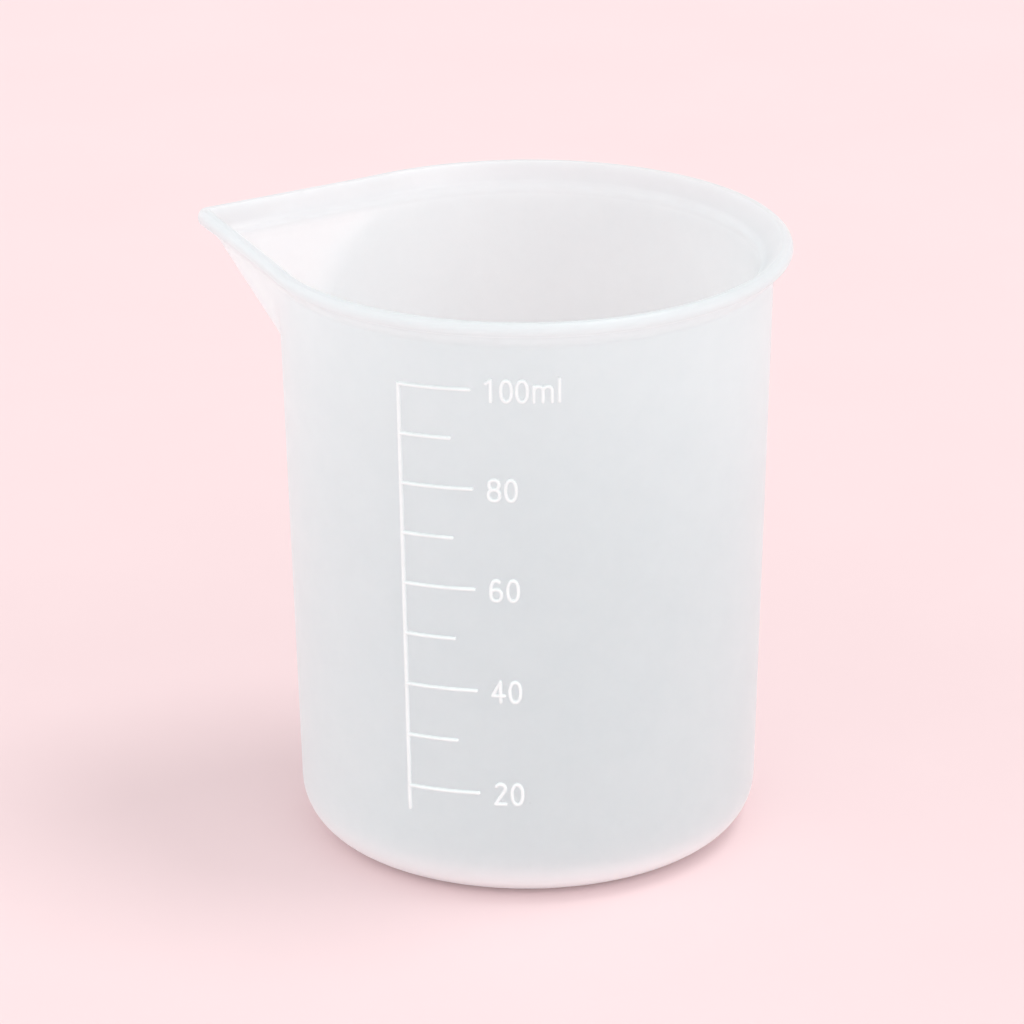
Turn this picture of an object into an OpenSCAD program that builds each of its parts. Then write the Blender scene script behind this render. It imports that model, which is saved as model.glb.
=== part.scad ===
// Graduated silicone pouring cup: a tapered wall on a flat floor, a flared lip with a
// half-round band, a V-shaped pouring spout, and a raised millilitre scale.
// Millimetres. The origin is the centre of the underside, +Z is up, the spout points
// along -X and the scale is on the -Y side.

/* [Cup] */
// Overall height, from the table to the top of the lip
cup_h = 65.3; // [62:0.1:72]
// Outer diameter of the wall just under the lip
wall_top_d = 51.9; // [50:0.1:53]
// Outer diameter of the tapered wall, carried down to the table
foot_d = 48.6; // [45:0.1:49]
// Thickness of the wall
wall_t = 1.4; // [1:0.1:2]
// Thickness of the floor
floor_t = 1.6; // [1.2:0.1:3]
// Outside radius of the rounded heel
heel_r = 5.2; // [3.5:0.1:7]

/* [Lip] */
// Outer diameter across the lip
mouth_d = 55.9; // [54.5:0.1:58]
// Height of the flared lip, from its outer crease to its top
lip_h = 3.05; // [2.5:0.05:5]
// Height of the half-round band along the outside of the lip
bead_d = 1.5; // [1.3:0.1:2]
// Width of the lip's top, from its inner edge to the outside of the band
lip_w = 1.1; // [0.9:0.05:1.4]
// Height of the lip's inner crease above its outer one
inner_crease_up = 0.9; // [0:0.1:1.2]

/* [Spout] */
// Reach of the spout's tip from the cup's axis
spout_reach = 36.4; // [35.8:0.1:37]
// Height at which the spout's keel leaves the wall
keel_z = 49.4; // [44:0.1:54]
// Turn of the spout's flat sides: 90 degrees less half the angle between them
spout_turn = 41; // [39:0.5:42]
// Radius of the spout's nose, at the outer face of the wall
nose_r = 0.6; // [0.4:0.1:1.5]
// How much deeper the band is at the spout's tip
tip_drop = 0.35; // [0:0.05:0.6]

/* [Scale] */
// Height of the 20 ml mark
first_mark_z = 12.5; // [11:0.1:16]
// Turn from the spout round to the upright line of the scale
line_turn = 77.2; // [60:0.1:100]
// Length of the ticks that have a number
long_tick = 7.75; // [6:0.05:9]
// Length of the ticks between them
short_tick = 5.55; // [4:0.05:6]
// Slant of the ticks, up and away from the line
tick_slant = 2; // [0:0.5:4]
// Width of the raised strokes
stroke_w = 0.34; // [0.3:0.02:0.5]
// Height of the raised strokes above the wall
relief_h = 0.3; // [0.2:0.05:0.5]
// Height of the numerals
digit_h = 2.6; // [2:0.05:3.2]

/* [Hidden] */
$fn = 144;

silicone = [0.92, 0.92, 0.93];
relief_white = [0.98, 0.98, 0.98];

// Lip and wall: heights and radii that follow from the driving dimensions
bead_r = bead_d / 2;
bead_z = cup_h - bead_r;
bead_foot_z = cup_h - bead_d;
bead_ring_r = mouth_d / 2 - bead_r;
crease_z = cup_h - lip_h;
wall_top_r = wall_top_d / 2;
wall_slope = (wall_top_r - foot_d / 2) / crease_z;
wall_tilt = atan(wall_slope);

// Outer radius of the tapered wall at height z
function wall_r(z) = foot_d / 2 + wall_slope * z;

// The lip's inner edge and inner crease, in [radius, height]
inner_edge = [mouth_d / 2 - lip_w, cup_h];
inner_crease_z = crease_z + inner_crease_up;
inner_crease = [wall_r(inner_crease_z) - wall_t, inner_crease_z];

// Heel: an outside arc and an inside arc that touch the floor and the wall
heel_in_r = heel_r - wall_t;
heel_top_z = heel_r + 1;
function heel_centre_r(r, base_z, skin) =
    wall_r(base_z + r) - skin / cos(wall_tilt) - r / cos(wall_tilt);

// Half angle of the sector that the spout takes, and of the band's deeper stretch
spout_half = 42;
tip_half = 14;
// Least radius of the nose, on the inner faces
nose_min_r = 0.25;
// Steps of the spout's skin: round to each side, closer together at the tip by the
// power spout_ease, then up to the crease, then round the band
spout_steps = 24;
spout_ease = 1.6;
rise_steps = 9;
bead_steps = 12;

// Share of the way from the lip's outer crease to the foot of its band
function lip_share(z) = max(0, min(z, bead_foot_z) - crease_z) / (bead_foot_z - crease_z);

// Outer radius at height z, of the wall and then of the flared lip under its band
function outer_r(z) = min(wall_r(z), wall_top_r)
    + lip_share(z) * (bead_ring_r - wall_top_r);

// Distance from the cup's axis to the side of a spout that reaches out to a round nose
function side_of(reach, nose) =
    reach * cos(spout_turn) + nose * (1 - cos(spout_turn));
side_foot = side_of(wall_r(keel_z), nose_r);
side_top = side_of(spout_reach, nose_r + bead_r) - bead_r;

// Distance from the axis to the spout's side at height z: flat sides rise from the
// keel's foot, touch the wall at the crease and lean out with the lip
function side_r(z) =
    side_foot + (wall_top_r - side_foot) * (min(z, crease_z) - keel_z) / (crease_z - keel_z)
    + lip_share(z) * (side_top - wall_top_r);

// Radius at angle a of the spout's side, and of the nose where it meets the other side
function drawn_r(a, side, nose) =
    let (nose_at = (side - nose) / cos(spout_turn),
         nose_end = atan2(nose * sin(spout_turn), nose_at + nose * cos(spout_turn)))
    a >= spout_turn ? side
    : a >= nose_end ? side / cos(spout_turn - a)
    : nose_at * cos(a) + sqrt(nose * nose - pow(nose_at * sin(a), 2));

// How far a point at angle a and height z sinks to deepen the band at the tip
function sink(a, z) =
    tip_drop * pow(max(0, 1 - pow(a / tip_half, 2)), 2)
    * (z < bead_foot_z ? lip_share(z) : (cup_h - z) / bead_d);

// A profile point [r, z] carried out by the spout to angle a
function spout_point(a, p) =
    let (skin = p[0] - outer_r(p[1]),
         nose = max(nose_min_r, nose_r + skin),
         r = max(p[0], drawn_r(abs(a), side_r(p[1]) + skin, nose)))
    [-r * cos(a), r * sin(a), p[1] - sink(a, p[1])];

// Heights from the keel's foot to the crease, closest together at the foot
function rise(i, top) = keel_z + (top - keel_z) * pow(i / rise_steps, 2);

// Section through wall and lip above the keel's foot: up outside and down inside
spout_section = concat(
    [for (i = [0:rise_steps]) let (z = rise(i, crease_z)) [wall_r(z), z]],
    [for (i = [0:bead_steps])
        let (a = 180 * i / bead_steps - 90)
        [bead_ring_r + bead_r * cos(a), bead_z + bead_r * sin(a)]],
    [inner_edge],
    [for (i = [rise_steps:-1:0])
        let (z = rise(i, inner_crease_z)) [wall_r(z) - wall_t, z]]
);
spout_angles = [for (i = [-spout_steps:spout_steps])
    sign(i) * spout_half * pow(abs(i) / spout_steps, spout_ease)];

// Scale: each 10 ml fills the same volume of the tapered inside
tick_step = 10;
line_angle = 180 + line_turn;
line_foot_z = first_mark_z - 2.6;
inner_foot_r = foot_d / 2 - wall_t;
first_mark_r = inner_foot_r + wall_slope * first_mark_z;
function mark_z(ml) =
    (pow(pow(first_mark_r, 3) + 3 * wall_slope * (ml - 20) * 1000 / PI, 1 / 3)
        - inner_foot_r) / wall_slope;

// Angle round the wall that an arc of length l spans at height z
function span(l, z) = l / wall_r(z) * 180 / PI;
label_gap = 1.75;
unit_label_gap = 1.5;
label_rise = long_tick * sin(tick_slant);

// Numerals: half width and half height of the middle of the stroke
half_w = 0.21 * digit_h;
half_h = (digit_h - stroke_w) / 2;
digit_pitch = 0.665 * digit_h;
unit_label_l = 4.08 * digit_pitch;

// ---- cup ----

// Filled half section of the cup's foot, with a heel arc of radius r on a floor at base_z
module foot_section(r, base_z, skin, top_z) {
    centre = [heel_centre_r(r, base_z, skin), base_z + r];
    touch = centre + r * [cos(wall_tilt), -sin(wall_tilt)];
    polygon([
        [0, base_z], [centre[0], base_z], touch,
        [wall_r(top_z) - skin, top_z], [0, top_z]
    ]);
    translate(centre) circle(r);
}

module cup_base() {
    color(silicone)
        rotate_extrude()
            intersection() {
                difference() {
                    foot_section(heel_r, 0, 0, heel_top_z + 1);
                    foot_section(heel_in_r, floor_t, wall_t, heel_top_z + 2);
                }
                square([mouth_d, heel_top_z]);
            }
}

// Wedge of space that the spout takes out of the wall and the lip
module spout_wedge() {
    reach = 2 * mouth_d;
    translate([0, 0, keel_z])
        linear_extrude(cup_h)
            polygon([
                [0, 0],
                [-reach * cos(spout_half), reach * sin(spout_half)],
                [-reach, 0],
                [-reach * cos(spout_half), -reach * sin(spout_half)]
            ]);
}

module cup_wall() {
    color(silicone)
        difference() {
            rotate_extrude()
                polygon([
                    [wall_r(heel_top_z), heel_top_z], [wall_top_r, crease_z],
                    [wall_top_r - wall_t, crease_z],
                    [wall_r(heel_top_z) - wall_t, heel_top_z]
                ]);
            spout_wedge();
        }
}

module rim_lip() {
    color(silicone)
        difference() {
            rotate_extrude() {
                polygon([
                    [wall_top_r, crease_z], [bead_ring_r, bead_foot_z],
                    [bead_ring_r, cup_h], inner_edge, inner_crease,
                    [wall_top_r - wall_t, crease_z]
                ]);
                translate([bead_ring_r, bead_z])
                    intersection() {
                        circle(bead_r);
                        translate([0, -bead_r]) square(bead_d);
                    }
            }
            spout_wedge();
        }
}

module pouring_spout() {
    count = len(spout_section);
    rings = len(spout_angles);
    color(silicone)
        polyhedron(
            points = [for (a = spout_angles) for (p = spout_section) spout_point(a, p)],
            faces = concat(
                [for (i = [0:rings - 2]) for (j = [0:count - 1])
                    let (k = (j + 1) % count)
                    [i * count + j, i * count + k, (i + 1) * count + k, (i + 1) * count + j]],
                [[for (j = [count - 1:-1:0]) j]],
                [[for (j = [0:count - 1]) (rings - 1) * count + j]]
            )
        );
}

// ---- raised scale ----

// Skin of the wall, relief_h thick, that all raised strokes are cut from
module relief_skin(z0, z1) {
    rotate_extrude()
        polygon([
            [wall_r(z0), z0], [wall_r(z0) + relief_h, z0],
            [wall_r(z1) + relief_h, z1], [wall_r(z1), z1]
        ]);
}

// A flat drawing stood against the wall at an angle and height, raised as relief
module raised(angle, z, reach) {
    margin = 3;
    color(relief_white)
        intersection() {
            relief_skin(z - reach - margin, z + reach + margin);
            rotate([0, 0, angle])
                translate([wall_r(z) - margin, 0, z])
                    rotate([90, 0, 90])
                        linear_extrude(2 * margin)
                            children();
        }
}

// Side of a stroke at point i of its centre line, mitred between the two runs that meet there
function turned(v) = [-v[1], v[0]] / norm(v);
function side(pts, i) =
    let (last = len(pts) - 1,
         n0 = turned(i > 0 ? pts[i] - pts[i - 1] : pts[1] - pts[0]),
         n1 = turned(i < last ? pts[i + 1] - pts[i] : pts[last] - pts[last - 1]))
    stroke_w / 2 * (n0 + n1) / (1 + n0 * n1);

// Half circle that closes a stroke at c, on the far side of its edge point c + v
cap_steps = 8;
function cap(c, v) =
    let (start = atan2(v[1], v[0]))
    [for (i = [1:cap_steps - 1])
        let (a = start + 180 * i / cap_steps)
        c + norm(v) * [cos(a), sin(a)]];

// A stroke with round ends along a centre line of points
module stroke(pts) {
    last = len(pts) - 1;
    polygon(concat(
        [for (i = [0:last]) pts[i] - side(pts, i)],
        cap(pts[last], -side(pts, last)),
        [for (i = [last:-1:0]) pts[i] + side(pts, i)],
        cap(pts[0], side(pts, 0))
    ));
}

// Points on an arc of radius r about c, from angle a0 to a1
arc_steps = 14;
function arc(c, r, a0, a1) =
    [for (i = [0:arc_steps])
        let (a = a0 + (a1 - a0) * i / arc_steps)
        c + r * [cos(a), sin(a)]];

// Point at angle t of a slightly squared oval, half width a and half height b
oval_power = 0.92;
function eased(x) = sign(x) * pow(abs(x), oval_power);
function oval_at(c, a, b, t) = c + [a * eased(cos(t)), b * eased(sin(t))];
module oval(c, a, b) {
    polygon([for (t = [0:10:350]) oval_at(c, a, b, t)]);
}

// A closed loop of stroke, half width a and half height b at its centre line
module loop_of_stroke(c, a, b) {
    difference() {
        oval(c, a + stroke_w / 2, b + stroke_w / 2);
        oval(c, a - stroke_w / 2, b - stroke_w / 2);
    }
}

// Small set-back that keeps two strokes from sharing an end point
tuck = 0.02;

module digit_0() {
    loop_of_stroke([0, 0], half_w, half_h);
}

module digit_1() {
    stem_x = 0.2 * half_w;
    stroke([[stem_x, -half_h], [stem_x, half_h]]);
    stroke([[stem_x - tuck, half_h - tuck], [-0.7 * half_w, 0.68 * half_h]]);
}

module digit_2() {
    bowl_r = 0.9 * half_w;
    stroke(concat(
        arc([0, half_h - bowl_r], bowl_r, 155, -38),
        [[tuck - half_w, tuck - half_h]]
    ));
    stroke([[-half_w, -half_h], [half_w, -half_h]]);
}

module digit_4() {
    arm_z = -0.38 * half_h;
    post_x = 0.4 * half_w;
    stroke([[post_x, -half_h], [post_x, half_h]]);
    stroke([
        [post_x - tuck, half_h - tuck], [-1.1 * half_w, arm_z], [1.15 * half_w, arm_z]
    ]);
}

module digit_6() {
    bowl_h = 0.56 * half_h;
    bowl_z = bowl_h - half_h;
    loop_of_stroke([0, bowl_z], half_w, bowl_h);
    stroke(concat(
        [for (t = [55:10:175]) oval_at([0, 0], half_w - tuck, half_h, t)],
        [[tuck - half_w, bowl_z]]
    ));
}

module digit_8() {
    low_h = 0.53 * half_h;
    top_h = half_h - low_h;
    low = [0, low_h - half_h];
    top = [0, half_h - top_h];
    low_w = 1.08 * half_w;
    top_w = 0.93 * half_w;
    half_stroke = stroke_w / 2;
    difference() {
        union() {
            oval(low, low_w + half_stroke, low_h + half_stroke);
            oval(top, top_w + half_stroke, top_h + half_stroke);
        }
        oval(low, low_w - half_stroke, low_h - half_stroke);
        oval(top, top_w - half_stroke, top_h - half_stroke);
    }
}

module letter_m() {
    arch_r = 0.41 * half_h;
    x_top = 0.46 * half_h;
    stroke([[0, -half_h], [0, x_top]]);
    for (i = [0:1]) {
        right = 2 * (i + 1) * arch_r;
        stroke(concat(
            arc([right - arch_r, x_top - arch_r], arch_r, 165, 0),
            [[right, -half_h]]
        ));
    }
}

module letter_l() {
    stroke([[0, -half_h], [0, 1.14 * half_h]]);
}

// A label stands level with its tick's far end, its middle half_length past the gap
module label(ml, gap, half_length) {
    z = mark_z(ml) + label_rise;
    angle = line_angle + span(long_tick + gap + half_length, z);
    raised(angle, z, digit_h) children();
}

// Two numerals side by side
module label_pair(ml) {
    label(ml, label_gap, half_w + digit_pitch / 2) {
        translate([-digit_pitch / 2, 0]) children(0);
        translate([digit_pitch / 2, 0]) children(1);
    }
}

// The top label, with its unit
module label_100() {
    label(100, unit_label_gap, half_w + unit_label_l / 2)
        translate([-unit_label_l / 2, 0]) {
            digit_1();
            translate([0.98 * digit_pitch, 0]) digit_0();
            translate([1.9 * digit_pitch, 0]) digit_0();
            translate([2.59 * digit_pitch, 0]) letter_m();
            translate([unit_label_l, 0]) letter_l();
        }
}

module scale_line() {
    top_z = mark_z(100);
    middle = (top_z + line_foot_z) / 2;
    raised(line_angle, middle, (top_z - line_foot_z) / 2) {
        stroke([[0, line_foot_z - middle], [0, top_z - middle]]);
        translate([-stroke_w / 2, top_z - middle - stroke_w / 2]) square(stroke_w);
    }
}

// A tick starts at the side of the line and slants up and away from it
module tick(ml) {
    z = mark_z(ml);
    length = (ml % (2 * tick_step) == 0 ? long_tick : short_tick);
    start = stroke_w / 2;
    angle = line_angle + span(length / 2, z);
    raised(angle, z, 1)
        difference() {
            translate([0, length / 2 * sin(tick_slant)])
                rotate(tick_slant) stroke([[-length / 2, 0], [length / 2, 0]]);
            translate([start - 3 * length / 2, -length]) square([length, 2 * length]);
        }
}

cup_base();
cup_wall();
rim_lip();
pouring_spout();
scale_line();
for (ml = [20:tick_step:100])
    tick(ml);
label_pair(20) { digit_2(); digit_0(); }  // label_20
label_pair(40) { digit_4(); digit_0(); }  // label_40
label_pair(60) { digit_6(); digit_0(); }  // label_60
label_pair(80) { digit_8(); digit_0(); }  // label_80
label_100();
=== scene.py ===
"""Looks of the graduated silicone pouring cup: one continuous translucent skin for the cup,
and raised strokes for its millilitre scale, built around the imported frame."""

import math

import bmesh
import bpy
from mathutils import Matrix, Vector


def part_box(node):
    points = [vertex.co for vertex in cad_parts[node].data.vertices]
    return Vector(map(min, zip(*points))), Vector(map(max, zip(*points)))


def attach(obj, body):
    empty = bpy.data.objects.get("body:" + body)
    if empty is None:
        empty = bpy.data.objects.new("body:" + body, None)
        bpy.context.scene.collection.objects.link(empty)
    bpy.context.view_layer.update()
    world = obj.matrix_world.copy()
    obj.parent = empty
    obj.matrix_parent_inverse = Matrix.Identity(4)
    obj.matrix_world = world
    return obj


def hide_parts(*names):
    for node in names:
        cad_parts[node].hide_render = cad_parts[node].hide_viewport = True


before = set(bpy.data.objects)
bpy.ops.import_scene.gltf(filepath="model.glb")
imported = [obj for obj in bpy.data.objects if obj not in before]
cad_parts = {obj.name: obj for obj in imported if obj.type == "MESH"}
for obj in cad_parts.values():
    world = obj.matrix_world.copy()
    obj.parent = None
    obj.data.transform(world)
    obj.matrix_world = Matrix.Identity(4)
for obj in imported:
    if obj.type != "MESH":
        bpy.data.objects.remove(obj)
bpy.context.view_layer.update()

MM = 0.001

# ---- sizes, in millimetres, that the frame gives ----

MARKS = tuple(range(20, 101, 10))
LABELS = (20, 40, 60, 80, 100)


def box_mm(node):
    low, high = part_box(node)
    return low / MM, high / MM


base_high = box_mm("cup_base")[1]
wall_high = box_mm("cup_wall")[1]
lip_high = box_mm("rim_lip")[1]
spout_low = box_mm("pouring_spout")[0]

CUP_H = lip_high.z
CREASE_Z = wall_high.z
WALL_TOP_R = wall_high.x
HEEL_TOP_Z = base_high.z
WALL_SLOPE = (WALL_TOP_R - base_high.x) / (CREASE_Z - HEEL_TOP_Z)
MOUTH_R = lip_high.x
SPOUT_REACH = -spout_low.x
KEEL_Z = spout_low.z

# ---- sizes, in millimetres or radians, that the frame doesn't give ----

WALL_T = 1.4
FLOOR_T = 1.6
HEEL_R = 5.2
BEAD_R = 0.75
LIP_W = 1.1
INNER_CREASE_UP = 0.9
CREASE_SOFT = 0.3
BAND_START = math.radians(-74)
BAND_END = math.radians(52)
BAND_FOOT_UP = 0.02
BAND_FOOT_SOFT = 0.07
TOP_EDGE_IN = 0.16
TOP_EDGE_SOFT = 0.15
IN_EDGE_SOFT = 0.12
SPOUT_TURN = math.radians(41)
NOSE_R = 0.6
NOSE_MIN_R = 0.25
TIP_DROP = 0.35
TIP_HALF = math.radians(14)
VALLEY_MIN = 0.15
VALLEY_GROWTH = 1.2
VALLEY_HEIGHT = 5
SPOUT_SECTOR = math.radians(48)
SPOUT_STEPS = 54
SPOUT_EASE = 1.6
FAR_STEPS = 72

# ---- the cup's section and its spout ----

BEAD_Z = CUP_H - BEAD_R
BEAD_FOOT_Z = BEAD_Z - BEAD_R
BEAD_RING_R = MOUTH_R - BEAD_R
WALL_TILT = math.atan(WALL_SLOPE)
BASE_TOP_Z = FLOOR_T + 3


def wall_r(z):
    return WALL_TOP_R + WALL_SLOPE * (z - CREASE_Z)


def lip_share(z):
    """Share of the way from the lip's outer crease to the foot of its band."""
    return max(0, min(z, BEAD_FOOT_Z) - CREASE_Z) / (BEAD_FOOT_Z - CREASE_Z)


def outer_r(z):
    """Outer radius at height z, of the wall and then of the flare under the band."""
    return min(wall_r(z), WALL_TOP_R) + lip_share(z) * (BEAD_RING_R - WALL_TOP_R)


def arc(centre, r, a0, a1, steps):
    return [
        (
            centre[0] + r * math.cos(a0 + (a1 - a0) * i / steps),
            centre[1] + r * math.sin(a0 + (a1 - a0) * i / steps),
        )
        for i in range(steps + 1)
    ]


def line(p, q, steps):
    """Points between p and q, without p itself."""
    return [
        (p[0] + (q[0] - p[0]) * i / steps, p[1] + (q[1] - p[1]) * i / steps)
        for i in range(1, steps + 1)
    ]


def softened(p, corner, q, size, steps=5):
    """A short curve that rounds a corner between p and q, size long on each side."""

    def towards(a, b):
        d = math.hypot(b[0] - a[0], b[1] - a[1])
        return (a[0] + (b[0] - a[0]) * size / d, a[1] + (b[1] - a[1]) * size / d)

    s, e = towards(corner, p), towards(corner, q)
    out = []
    for i in range(steps + 1):
        t = i / steps
        weights = ((1 - t) ** 2, 2 * t * (1 - t), t * t)
        out.append(tuple(sum(w * v[k] for w, v in zip(weights, (s, corner, e))) for k in (0, 1)))
    return out


def heel_arc(r, base_z, skin, steps):
    centre = (wall_r(base_z + r) - (skin + r) / math.cos(WALL_TILT), base_z + r)
    return arc(centre, r, -math.pi / 2, -WALL_TILT, steps)


def lip_section():
    """The lip alone, from its outer crease round to its inner one: a flared skin that
    carries a half-round band outside and a narrow flat on top."""
    band = arc((BEAD_RING_R, BEAD_Z), BEAD_R, BAND_START, BAND_END, 15)
    under = (BEAD_RING_R, BEAD_FOOT_Z + BAND_FOOT_UP)
    top_edge = (band[-1][0] - TOP_EDGE_IN, CUP_H)
    in_edge = (MOUTH_R - LIP_W, CUP_H)
    in_crease_z = CREASE_Z + INNER_CREASE_UP
    in_crease = (wall_r(in_crease_z) - WALL_T, in_crease_z)
    below = (wall_r(KEEL_Z), KEEL_Z)
    in_below = (wall_r(KEEL_Z) - WALL_T, KEEL_Z)
    pts = softened(below, (WALL_TOP_R, CREASE_Z), under, CREASE_SOFT)
    pts += line(pts[-1], under, 6)[:-1]
    pts += softened(pts[-1], under, band[0], BAND_FOOT_SOFT, 3)
    pts += band[:-1]
    pts += softened(band[-2], top_edge, in_edge, TOP_EDGE_SOFT)
    pts += line(pts[-1], in_edge, 3)[:-1]
    pts += softened(pts[-1], in_edge, in_crease, IN_EDGE_SOFT)
    inner = softened(in_edge, in_crease, in_below, 2 * CREASE_SOFT)
    pts += line(pts[-1], inner[0], 6)[:-1] + inner
    return pts


def cup_section():
    """[radius, height] points from the middle of the underside, up the outside, over the
    lip and down the inside to the middle of the floor."""
    out_heel = heel_arc(HEEL_R, 0, 0, 14)
    in_heel = heel_arc(HEEL_R - WALL_T, FLOOR_T, WALL_T, 12)
    keel_foot = (wall_r(KEEL_Z), KEEL_Z)
    in_keel_foot = (wall_r(KEEL_Z) - WALL_T, KEEL_Z)
    lip = lip_section()
    pts = [(0, 0)] + line((0, 0), out_heel[0], 8) + out_heel[1:]
    pts += line(out_heel[-1], keel_foot, 18)
    pts += line(keel_foot, lip[0], 26)[:-1] + lip
    pts += line(lip[-1], in_keel_foot, 26)
    pts += line(in_keel_foot, in_heel[-1], 18) + list(reversed(in_heel))[1:]
    pts += line(in_heel[0], (0, FLOOR_T), 8)
    return pts


def side_of(reach, nose):
    """Distance from the axis to the side of a spout that reaches out to a round nose."""
    return reach * math.cos(SPOUT_TURN) + nose * (1 - math.cos(SPOUT_TURN))


SIDE_FOOT = side_of(wall_r(KEEL_Z), NOSE_R)
SIDE_TOP = side_of(SPOUT_REACH, NOSE_R + BEAD_R) - BEAD_R


def side_r(z):
    """Distance from the axis to the spout's side: flat sides rise from the keel's foot,
    touch the wall at the crease and lean out with the lip."""
    rise = (min(z, CREASE_Z) - KEEL_Z) / (CREASE_Z - KEEL_Z)
    return SIDE_FOOT + (WALL_TOP_R - SIDE_FOOT) * rise + lip_share(z) * (SIDE_TOP - WALL_TOP_R)


def drawn_r(a, side, nose):
    """Radius at angle a of the spout's side, and of the nose where it meets the other."""
    if a > SPOUT_TURN:
        return side * math.cos(a - SPOUT_TURN)
    nose_at = (side - nose) / math.cos(SPOUT_TURN)
    touch = (nose_at + nose * math.cos(SPOUT_TURN), nose * math.sin(SPOUT_TURN))
    if a >= math.atan2(touch[1], touch[0]):
        return side / math.cos(SPOUT_TURN - a)
    return nose_at * math.cos(a) + math.sqrt(nose**2 - (nose_at * math.sin(a)) ** 2)


def blended(side, r, z):
    """The larger of the two radii, with a soft valley where the side leaves the wall."""
    width = VALLEY_MIN + VALLEY_GROWTH * min(1, max(0, CREASE_Z - z) / VALLEY_HEIGHT)
    share = max(width - abs(side - r), 0) / width
    return max(side, r) + share**2 * width / 4


def sink(a, z):
    """How far a point sinks to deepen the band at the spout's tip."""
    share = max(0, 1 - (a / TIP_HALF) ** 2) ** 2
    tent = lip_share(z) if z < BEAD_FOOT_Z else (CUP_H - z) / (CUP_H - BEAD_FOOT_Z)
    return TIP_DROP * share * tent


def cup_point(a, r, z):
    """A section point carried to angle a from the spout's middle, and out with the spout."""
    if z > KEEL_Z:
        skin = r - outer_r(z)
        nose = max(NOSE_MIN_R, NOSE_R + skin)
        r = blended(drawn_r(abs(a), side_r(z) + skin, nose), r, z)
        z -= sink(a, z)
    return Vector((-r * math.cos(a), r * math.sin(a), z)) * MM


def spout_angles():
    """Angles round the cup from the spout's middle, closest together at its nose."""
    near = [SPOUT_SECTOR * (i / SPOUT_STEPS) ** SPOUT_EASE for i in range(SPOUT_STEPS + 1)]
    rest = math.pi - SPOUT_SECTOR
    far = [SPOUT_SECTOR + rest * i / FAR_STEPS for i in range(1, FAR_STEPS)]
    half = near + far
    return [-a for a in reversed(half[1:])] + half + [math.pi]


def make_shell():
    section = cup_section()
    angles = spout_angles()
    bm = bmesh.new()
    bottom = bm.verts.new((0, 0, 0))
    top = bm.verts.new((0, 0, FLOOR_T * MM))
    rings = []
    for a in angles:
        rings.append([bm.verts.new(cup_point(a, r, z)) for r, z in section[1:-1]])
    count = len(rings[0])
    for i, ring in enumerate(rings):
        after = rings[(i + 1) % len(rings)]
        bm.faces.new((bottom, ring[0], after[0]))
        for j in range(count - 1):
            bm.faces.new((ring[j], ring[j + 1], after[j + 1], after[j]))
        bm.faces.new((top, after[-1], ring[-1]))
    return finish_mesh(bm, "cup_skin")


def finish_mesh(bm, name):
    bmesh.ops.recalc_face_normals(bm, faces=bm.faces)
    mesh = bpy.data.meshes.new(name)
    bm.to_mesh(mesh)
    bm.free()
    mesh.polygons.foreach_set("use_smooth", [True] * len(mesh.polygons))
    piece = bpy.data.objects.new(name, mesh)
    bpy.context.scene.collection.objects.link(piece)
    return piece


# ---- raised scale ----

FIRST_MARK_Z = 12.5
LINE_TURN = 77.2
LONG_TICK = 7.75
SHORT_TICK = 5.55
TICK_SLANT = math.radians(2)
STROKE_W = 0.34
RELIEF_H = 0.3
ROOT = 0.12
STROKE_STEP = 0.12
BACK_POWER = 0.6
END_STEPS = 5
END_SHARE = 0.97
DIGIT_H = 2.6
LABEL_GAP = 1.75
UNIT_LABEL_GAP = 1.5
HALF_W = 0.21 * DIGIT_H
HALF_H = (DIGIT_H - STROKE_W) / 2
DIGIT_PITCH = 0.665 * DIGIT_H
UNIT_LABEL_L = 4.08 * DIGIT_PITCH
OVAL_POWER = 0.92
LINE_FOOT_Z = FIRST_MARK_Z - 2.6
LINE_ANGLE = math.pi + math.radians(LINE_TURN)


def mark_z(ml):
    """Height of a mark: each 10 ml fills the same volume of the tapered inside."""
    foot = wall_r(0) - WALL_T
    first = foot + WALL_SLOPE * FIRST_MARK_Z
    cubic = first**3 + 3 * WALL_SLOPE * (ml - 20) * 1000 / math.pi
    return (cubic ** (1 / 3) - foot) / WALL_SLOPE


def on_wall(origin, x, y, lift):
    """A drawing's point (x, y), laid on the wall about origin = (angle, height)."""
    angle, height = origin
    z = height + y
    around = angle + x / wall_r(height)
    r = wall_r(z) + lift
    return Vector((r * math.cos(around), r * math.sin(around), z)) * MM


def resampled(pts, step):
    out = [pts[0]]
    for p, q in zip(pts, pts[1:]):
        n = max(1, round(math.hypot(q[0] - p[0], q[1] - p[1]) / step))
        out += line(p, q, n)
    return out


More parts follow.
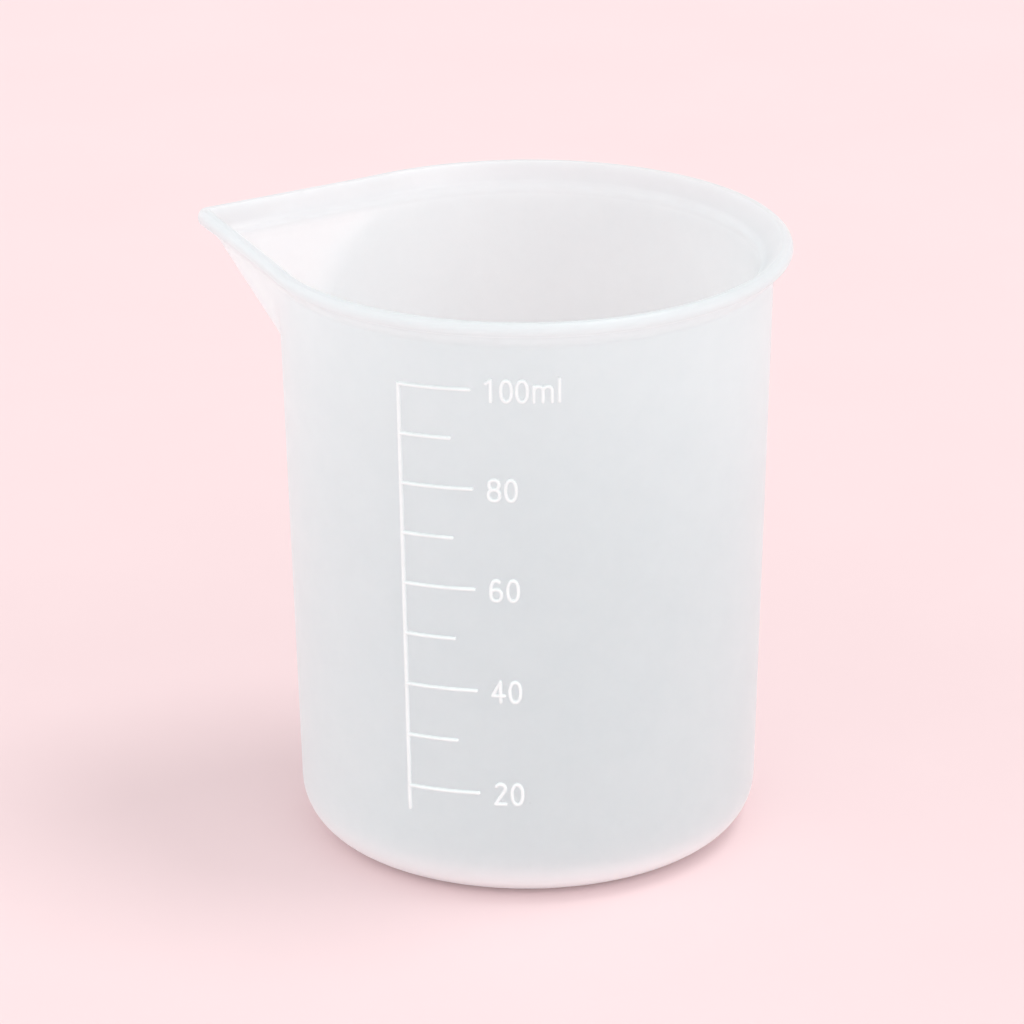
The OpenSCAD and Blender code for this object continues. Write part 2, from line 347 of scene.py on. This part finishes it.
def add_stroke(bm, origin, pts, square_start=False, square_end=False):
    """A raised stroke with a broad rounded back, along a centre line. Its ends are round
    unless they are asked to be square."""
    pts = resampled(pts, STROKE_STEP)
    half = STROKE_W / 2

    def direction(i):
        p, q = pts[max(0, i - 1)], pts[min(len(pts) - 1, i + 1)]
        d = math.hypot(q[0] - p[0], q[1] - p[1])
        return ((q[0] - p[0]) / d, (q[1] - p[1]) / d)

    stations = [(p, direction(i), 1.0) for i, p in enumerate(pts)]

    def rounded(p, d, sign):
        out = []
        for k in range(1, END_STEPS + 1):
            a = k / END_STEPS * math.pi / 2 * END_SHARE
            reach = half * math.sin(a) * sign
            out.append(((p[0] + d[0] * reach, p[1] + d[1] * reach), d, math.cos(a)))
        return out

    if not square_start:
        p, d, _ = stations[0]
        stations = list(reversed(rounded(p, d, -1))) + stations
    if not square_end:
        p, d, _ = stations[-1]
        stations = stations + rounded(p, d, 1)

    back = 9
    rings = []
    for (x, y), d, size in stations:
        ring = [(-half * size, -ROOT)]
        for k in range(back + 1):
            a = math.pi - math.pi * k / back
            aside = math.copysign(abs(math.cos(a)) ** BACK_POWER, math.cos(a))
            height = RELIEF_H * size**BACK_POWER * math.sin(a) ** BACK_POWER
            ring.append((half * size * aside, height))
        ring.append((half * size, -ROOT))
        rings.append(
            [bm.verts.new(on_wall(origin, x - d[1] * s, y + d[0] * s, h)) for s, h in ring]
        )
    for a, b in zip(rings, rings[1:]):
        n = len(a)
        for k in range(n):
            bm.faces.new((a[k], a[(k + 1) % n], b[(k + 1) % n], b[k]))
    bm.faces.new(rings[0])
    bm.faces.new(rings[-1])


def oval_at(c, a, b, t):
    def eased(v):
        return math.copysign(abs(v) ** OVAL_POWER, v)

    return (c[0] + a * eased(math.cos(t)), c[1] + b * eased(math.sin(t)))


def loop(c, a, b):
    return [oval_at(c, a, b, math.radians(t)) for t in range(0, 361, 10)]


def digit_0():
    return [loop((0, 0), HALF_W, HALF_H)]


def digit_1():
    x = 0.2 * HALF_W
    return [[(x, -HALF_H), (x, HALF_H)], [(x, HALF_H), (-0.7 * HALF_W, 0.68 * HALF_H)]]


def digit_2():
    r = 0.9 * HALF_W
    bowl = arc((0, HALF_H - r), r, math.radians(155), math.radians(-38), 14)
    return [bowl + [(-HALF_W, -HALF_H)], [(-HALF_W, -HALF_H), (HALF_W, -HALF_H)]]


def digit_4():
    arm, post = -0.38 * HALF_H, 0.4 * HALF_W
    left = (-1.1 * HALF_W, arm)
    return [
        [(post, -HALF_H), (post, HALF_H)],
        [(post, HALF_H), left],
        [left, (1.15 * HALF_W, arm)],
    ]


def digit_6():
    bowl_h = 0.56 * HALF_H
    bowl_z = bowl_h - HALF_H
    stem = [oval_at((0, 0), HALF_W, HALF_H, math.radians(t)) for t in range(55, 176, 10)]
    return [loop((0, bowl_z), HALF_W, bowl_h), stem + [(-HALF_W, bowl_z)]]


def digit_8():
    low_h = 0.53 * HALF_H
    top_h = HALF_H - low_h
    return [
        loop((0, low_h - HALF_H), 1.08 * HALF_W, low_h),
        loop((0, HALF_H - top_h), 0.93 * HALF_W, top_h),
    ]


def letter_m():
    r, top = 0.41 * HALF_H, 0.46 * HALF_H
    strokes = [[(0, -HALF_H), (0, top)]]
    for i in (0, 1):
        right = 2 * (i + 1) * r
        arch = arc((right - r, top - r), r, math.radians(165), 0, 14)
        strokes.append(arch + [(right, -HALF_H)])
    return strokes


def letter_l():
    return [[(0, -HALF_H), (0, 1.14 * HALF_H)]]


def shifted(strokes, dx):
    return [[(x + dx, y) for x, y in s] for s in strokes]


DIGITS = {"0": digit_0, "1": digit_1, "2": digit_2, "4": digit_4, "6": digit_6, "8": digit_8}


def label_drawing(ml):
    """(strokes about the label's middle, half its length, the gap before it)"""
    if ml == 100:
        strokes = digit_1() + shifted(digit_0(), 0.98 * DIGIT_PITCH)
        strokes += shifted(digit_0(), 1.9 * DIGIT_PITCH)
        strokes += shifted(letter_m(), 2.59 * DIGIT_PITCH)
        strokes += shifted(letter_l(), UNIT_LABEL_L)
        return shifted(strokes, -UNIT_LABEL_L / 2), HALF_W + UNIT_LABEL_L / 2, UNIT_LABEL_GAP
    tens, units = str(ml)
    strokes = shifted(DIGITS[tens](), -DIGIT_PITCH / 2)
    strokes += shifted(DIGITS[units](), DIGIT_PITCH / 2)
    return strokes, HALF_W + DIGIT_PITCH / 2, LABEL_GAP


def merge_strokes(piece, voxel=0.035):
    """Joins a label's crossing strokes into one closed skin."""
    mod = piece.modifiers.new("merge", "REMESH")
    mod.mode = "VOXEL"
    mod.voxel_size = voxel * MM
    mod.use_smooth_shade = True
    graph = bpy.context.evaluated_depsgraph_get()
    merged = bpy.data.meshes.new_from_object(piece.evaluated_get(graph))
    piece.modifiers.clear()
    piece.data = merged
    bm = bmesh.new()
    bm.from_mesh(merged)
    for _ in range(3):
        bmesh.ops.smooth_vert(
            bm, verts=bm.verts, factor=0.5, use_axis_x=True, use_axis_y=True, use_axis_z=True
        )
    bm.to_mesh(merged)
    bm.free()
    merged.polygons.foreach_set("use_smooth", [True] * len(merged.polygons))


def make_scale_line():
    top = mark_z(100)
    bm = bmesh.new()
    add_stroke(bm, (LINE_ANGLE, 0), [(0, LINE_FOOT_Z), (0, top + STROKE_W / 2)], square_end=True)
    return finish_mesh(bm, "upright_line")


def make_tick(ml):
    length = LONG_TICK if ml % 20 == 0 else SHORT_TICK
    bm = bmesh.new()
    end = (length * math.cos(TICK_SLANT), length * math.sin(TICK_SLANT))
    add_stroke(bm, (LINE_ANGLE, mark_z(ml)), [(0, 0), end], square_start=True)
    return finish_mesh(bm, f"raised_tick_{ml}")


def make_label(ml):
    strokes, half_length, gap = label_drawing(ml)
    z = mark_z(ml) + LONG_TICK * math.sin(TICK_SLANT)
    angle = LINE_ANGLE + (LONG_TICK + gap + half_length) / wall_r(z)
    bm = bmesh.new()
    for s in strokes:
        add_stroke(bm, (angle, z), s)
    piece = finish_mesh(bm, f"raised_label_{ml}")
    merge_strokes(piece)
    return piece


# ---- materials ----


def new_material(name):
    mat = bpy.data.materials.new(name)
    mat.use_nodes = True
    return mat, mat.node_tree.nodes, mat.node_tree.links


def noise(nodes, links, coords, scale, detail=4.0, rough=0.55):
    node = nodes.new("ShaderNodeTexNoise")
    node.inputs["Scale"].default_value = scale
    node.inputs["Detail"].default_value = detail
    node.inputs["Roughness"].default_value = rough
    links.new(coords, node.inputs["Vector"])
    return node.outputs["Fac"]


def ramp(nodes, links, fac, stops):
    node = nodes.new("ShaderNodeValToRGB")
    while len(node.color_ramp.elements) < len(stops):
        node.color_ramp.elements.new(0.5)
    for element, (at, colour) in zip(node.color_ramp.elements, stops):
        element.position = at
        element.color = (*colour, 1)
    links.new(fac, node.inputs["Fac"])
    return node.outputs["Color"]


def value_map(nodes, links, value, low, high, start=0.0, end=1.0):
    """A value that goes from low to high as the given one goes from start to end."""
    node = nodes.new("ShaderNodeMapRange")
    node.inputs["From Min"].default_value = start
    node.inputs["From Max"].default_value = end
    node.inputs["To Min"].default_value = low
    node.inputs["To Max"].default_value = high
    links.new(value, node.inputs["Value"])
    return node.outputs["Result"]


def mix_node(nodes, links, kind, a, b):
    node = nodes.new("ShaderNodeMix")
    node.data_type = "RGBA"
    node.blend_type = kind
    links.new(a, node.inputs["A"])
    links.new(b, node.inputs["B"])
    return node.inputs["Factor"], node.outputs["Result"]


def mixed(nodes, links, share, a, b):
    """Colour a turning to colour b by a share that varies."""
    factor, result = mix_node(nodes, links, "MIX", a, b)
    links.new(share, factor)
    return result


def multiplied(nodes, links, a, b):
    factor, result = mix_node(nodes, links, "MULTIPLY", a, b)
    factor.default_value = 1
    return result


def height_map(nodes, links, coords, z0, z1, low=0.0, high=1.0):
    """A value that goes from low to high as the height goes from z0 to z1."""
    split = nodes.new("ShaderNodeSeparateXYZ")
    links.new(coords, split.inputs["Vector"])
    return value_map(nodes, links, split.outputs["Z"], low, high, z0 * MM, z1 * MM)


def lip_colour_share(nodes, links, coords):
    """How far the silicone's colour has turned to the lip's grey, which is painted shade: part
    way at the crease, and all the way at the foot of the band."""
    stops = [(0.0, 0.0), (CREASE_Z / CUP_H, 0.45), (BEAD_FOOT_Z / CUP_H, 1.0)]
    greys = [(at, (share,) * 3) for at, share in stops]
    return ramp(nodes, links, height_map(nodes, links, coords, 0, CUP_H), greys)


def specks(nodes, links, coords, scale, size):
    """White with a few small grey dots, for dust and tiny bubbles."""
    cells = nodes.new("ShaderNodeTexVoronoi")
    cells.inputs["Scale"].default_value = scale
    links.new(coords, cells.inputs["Vector"])
    stops = [(0.0, (0.55, 0.54, 0.53)), (size, (0.7, 0.69, 0.68)), (size * 1.8, (1, 1, 1))]
    return ramp(nodes, links, cells.outputs["Distance"], stops)


def silicone_colour(nodes, links, coords):
    """Cloudy white: clearer on the wall, greyer in the lip and towards the top from painted
    shade, with a few specks.
    """
    cloud = noise(nodes, links, coords, 80, 8, 0.66)
    wall = ramp(nodes, links, cloud, [(0.3, (0.85, 0.935, 0.955)), (0.7, (0.91, 0.988, 1.0))])
    # Painted shade: the lip's much darker grey dims the lip and, blended by height, the top of
    # the wall.
    lip = ramp(nodes, links, cloud, [(0.3, (0.48, 0.53, 0.545)), (0.7, (0.51, 0.56, 0.575))])
    base = ramp(nodes, links, cloud, [(0.3, (0.88, 0.945, 0.955)), (0.7, (0.91, 0.975, 0.985))])
    upper = mixed(nodes, links, lip_colour_share(nodes, links, coords), wall, lip)
    above_base = height_map(nodes, links, coords, FLOOR_T, BASE_TOP_Z)
    clean = mixed(nodes, links, above_base, base, upper)
    return multiplied(nodes, links, clean, specks(nodes, links, coords, 110, 0.014))


def silicone_material():
    mat, nodes, links = new_material("milky_silicone")
    shader = nodes["Principled BSDF"]
    coords = nodes.new("ShaderNodeTexCoord").outputs["Object"]
    links.new(silicone_colour(nodes, links, coords), shader.inputs["Base Color"])
    bump = nodes.new("ShaderNodeBump")
    bump.inputs["Strength"].default_value = 0.12
    bump.inputs["Distance"].default_value = 0.00005
    links.new(noise(nodes, links, coords, 5000, 2), bump.inputs["Height"])
    links.new(bump.outputs["Normal"], shader.inputs["Normal"])
    gloss = noise(nodes, links, coords, 400, 3)
    links.new(value_map(nodes, links, gloss, 0.3, 0.42), shader.inputs["Roughness"])
    # Light travels far in the thin wall, and less far in the base that rests on the table
    reach = height_map(nodes, links, coords, FLOOR_T, BASE_TOP_Z, 0.001, 0.014)
    links.new(reach, shader.inputs["Subsurface Scale"])
    shader.inputs["IOR"].default_value = 1.41
    shader.inputs["Subsurface Weight"].default_value = 1.0
    shader.inputs["Subsurface Radius"].default_value = (1.0, 0.97, 0.95)
    shader.inputs["Sheen Weight"].default_value = 0.35
    shader.inputs["Sheen Roughness"].default_value = 0.2
    return mat


def relief_material():
    mat, nodes, links = new_material("raised_silicone")
    shader = nodes["Principled BSDF"]
    coords = nodes.new("ShaderNodeTexCoord").outputs["Object"]
    cloud = noise(nodes, links, coords, 600, 2)
    colour = ramp(nodes, links, cloud, [(0.3, (0.8, 0.84, 0.84)), (0.7, (0.84, 0.88, 0.88))])
    links.new(colour, shader.inputs["Base Color"])
    shader.inputs["Roughness"].default_value = 0.4
    shader.inputs["IOR"].default_value = 1.41
    # Painted glow: a faint emission makes the marks lighter, though they are no lamp.
    shader.inputs["Emission Color"].default_value = (0.9, 1.0, 1.0, 1)
    shader.inputs["Emission Strength"].default_value = 0.045
    return mat


def floor_material():
    mat, nodes, links = new_material("pale_floor")
    shader = nodes["Principled BSDF"]
    coords = nodes.new("ShaderNodeTexCoord").outputs["Object"]
    cloud = noise(nodes, links, coords, 30, 3)
    colour = ramp(nodes, links, cloud, [(0.3, (0.8, 0.62, 0.628)), (0.7, (0.81, 0.63, 0.638))])
    links.new(colour, shader.inputs["Base Color"])
    shader.inputs["Roughness"].default_value = 0.9
    shader.inputs["Specular IOR Level"].default_value = 0.0
    shader.inputs["Emission Color"].default_value = (1.0, 0.79, 0.805, 1)
    shader.inputs["Emission Strength"].default_value = 0.07
    return mat


def paint(piece, mat):
    piece.data.materials.clear()
    piece.data.materials.append(mat)


# ---- stage, light and camera ----


def make_floor(mat):
    bm = bmesh.new()
    bmesh.ops.create_grid(bm, x_segments=1, y_segments=1, size=3)
    floor = finish_mesh(bm, "floor")
    paint(floor, mat)


def make_sky(stops):
    """A studio dome: stops of (sine of the height above the horizon, colour)."""
    world = bpy.data.worlds.new("studio")
    bpy.context.scene.world = world
    world.use_nodes = True
    nodes, links = world.node_tree.nodes, world.node_tree.links
    split = nodes.new("ShaderNodeSeparateXYZ")
    links.new(nodes.new("ShaderNodeTexCoord").outputs["Generated"], split.inputs["Vector"])
    shade = ramp(nodes, links, split.outputs["Z"], stops)
    links.new(shade, nodes["Background"].inputs["Color"])


def make_lamp(name, direction, angle, strength, colour=(1, 1, 1)):
    """A broad soft light from a direction, angle degrees across."""
    data = bpy.data.lights.new(name, "SUN")
    data.angle = math.radians(angle)
    data.energy = strength
    data.color = colour
    lamp = bpy.data.objects.new(name, data)
    lamp.rotation_euler = Vector(direction).to_track_quat("Z", "Y").to_euler()
    bpy.context.scene.collection.objects.link(lamp)


def make_light():
    horizon, high = (0.85, 0.93, 0.95), (0.72, 0.73, 0.735)
    make_sky([(0.0, horizon), (0.4, high), (1.0, high)])
    cool = (0.96, 1.0, 1.01)
    make_lamp("key", (0.33, 0.14, 0.93), 24, 0.78)
    make_lamp("fill_right", (0.95, -0.45, 0.25), 90, 1.16, cool)
    make_lamp("fill_left", (-0.45, -0.9, 0.25), 90, 0.78, cool)
    make_lamp("rim_left", (-1.0, 0.1, 0.2), 60, 0.55, cool)


def make_camera():
    azimuth, elevation = math.radians(17.372), math.radians(21.165)
    roll = math.radians(-0.344)
    distance = 567.4 * MM
    aim = Vector((-1.52, -0.47, 34.63)) * MM
    away = Vector(
        (
            math.sin(azimuth) * math.cos(elevation),
            -math.cos(azimuth) * math.cos(elevation),
            math.sin(elevation),
        )
    )
    data = bpy.data.cameras.new("camera")
    data.lens = 187.33
    data.sensor_width = 36
    data.clip_start = 0.01
    data.clip_end = 20
    camera = bpy.data.objects.new("camera", data)
    right = Vector((math.cos(azimuth), math.sin(azimuth), 0))
    up = away.cross(right)
    turn = Matrix.Rotation(roll, 3, away)
    right, up = turn @ right, turn @ up
    axes = Matrix((right, up, away)).transposed()
    camera.matrix_world = Matrix.Translation(aim + away * distance) @ axes.to_4x4()
    bpy.context.scene.collection.objects.link(camera)
    bpy.context.scene.camera = camera


# ---- build ----


def place(piece, mat, slot, *nodes):
    paint(piece, mat)
    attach(piece, "root")
    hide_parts(*nodes)


def place_mark(piece, node):
    """A raised mark, which lets light through to the wall that it stands on."""
    place(piece, relief, "relief", node)
    piece.visible_diffuse = False


silicone = silicone_material()
relief = relief_material()
place(make_shell(), silicone, "silicone", "cup_base", "cup_wall", "rim_lip", "pouring_spout")
place_mark(make_scale_line(), "scale_line")
for ml in MARKS:
    place_mark(make_tick(ml), f"tick_{ml}")
for ml in LABELS:
    place_mark(make_label(ml), f"label_{ml}")

make_floor(floor_material())
make_light()
make_camera()
bpy.context.scene.view_settings.view_transform = "Standard"
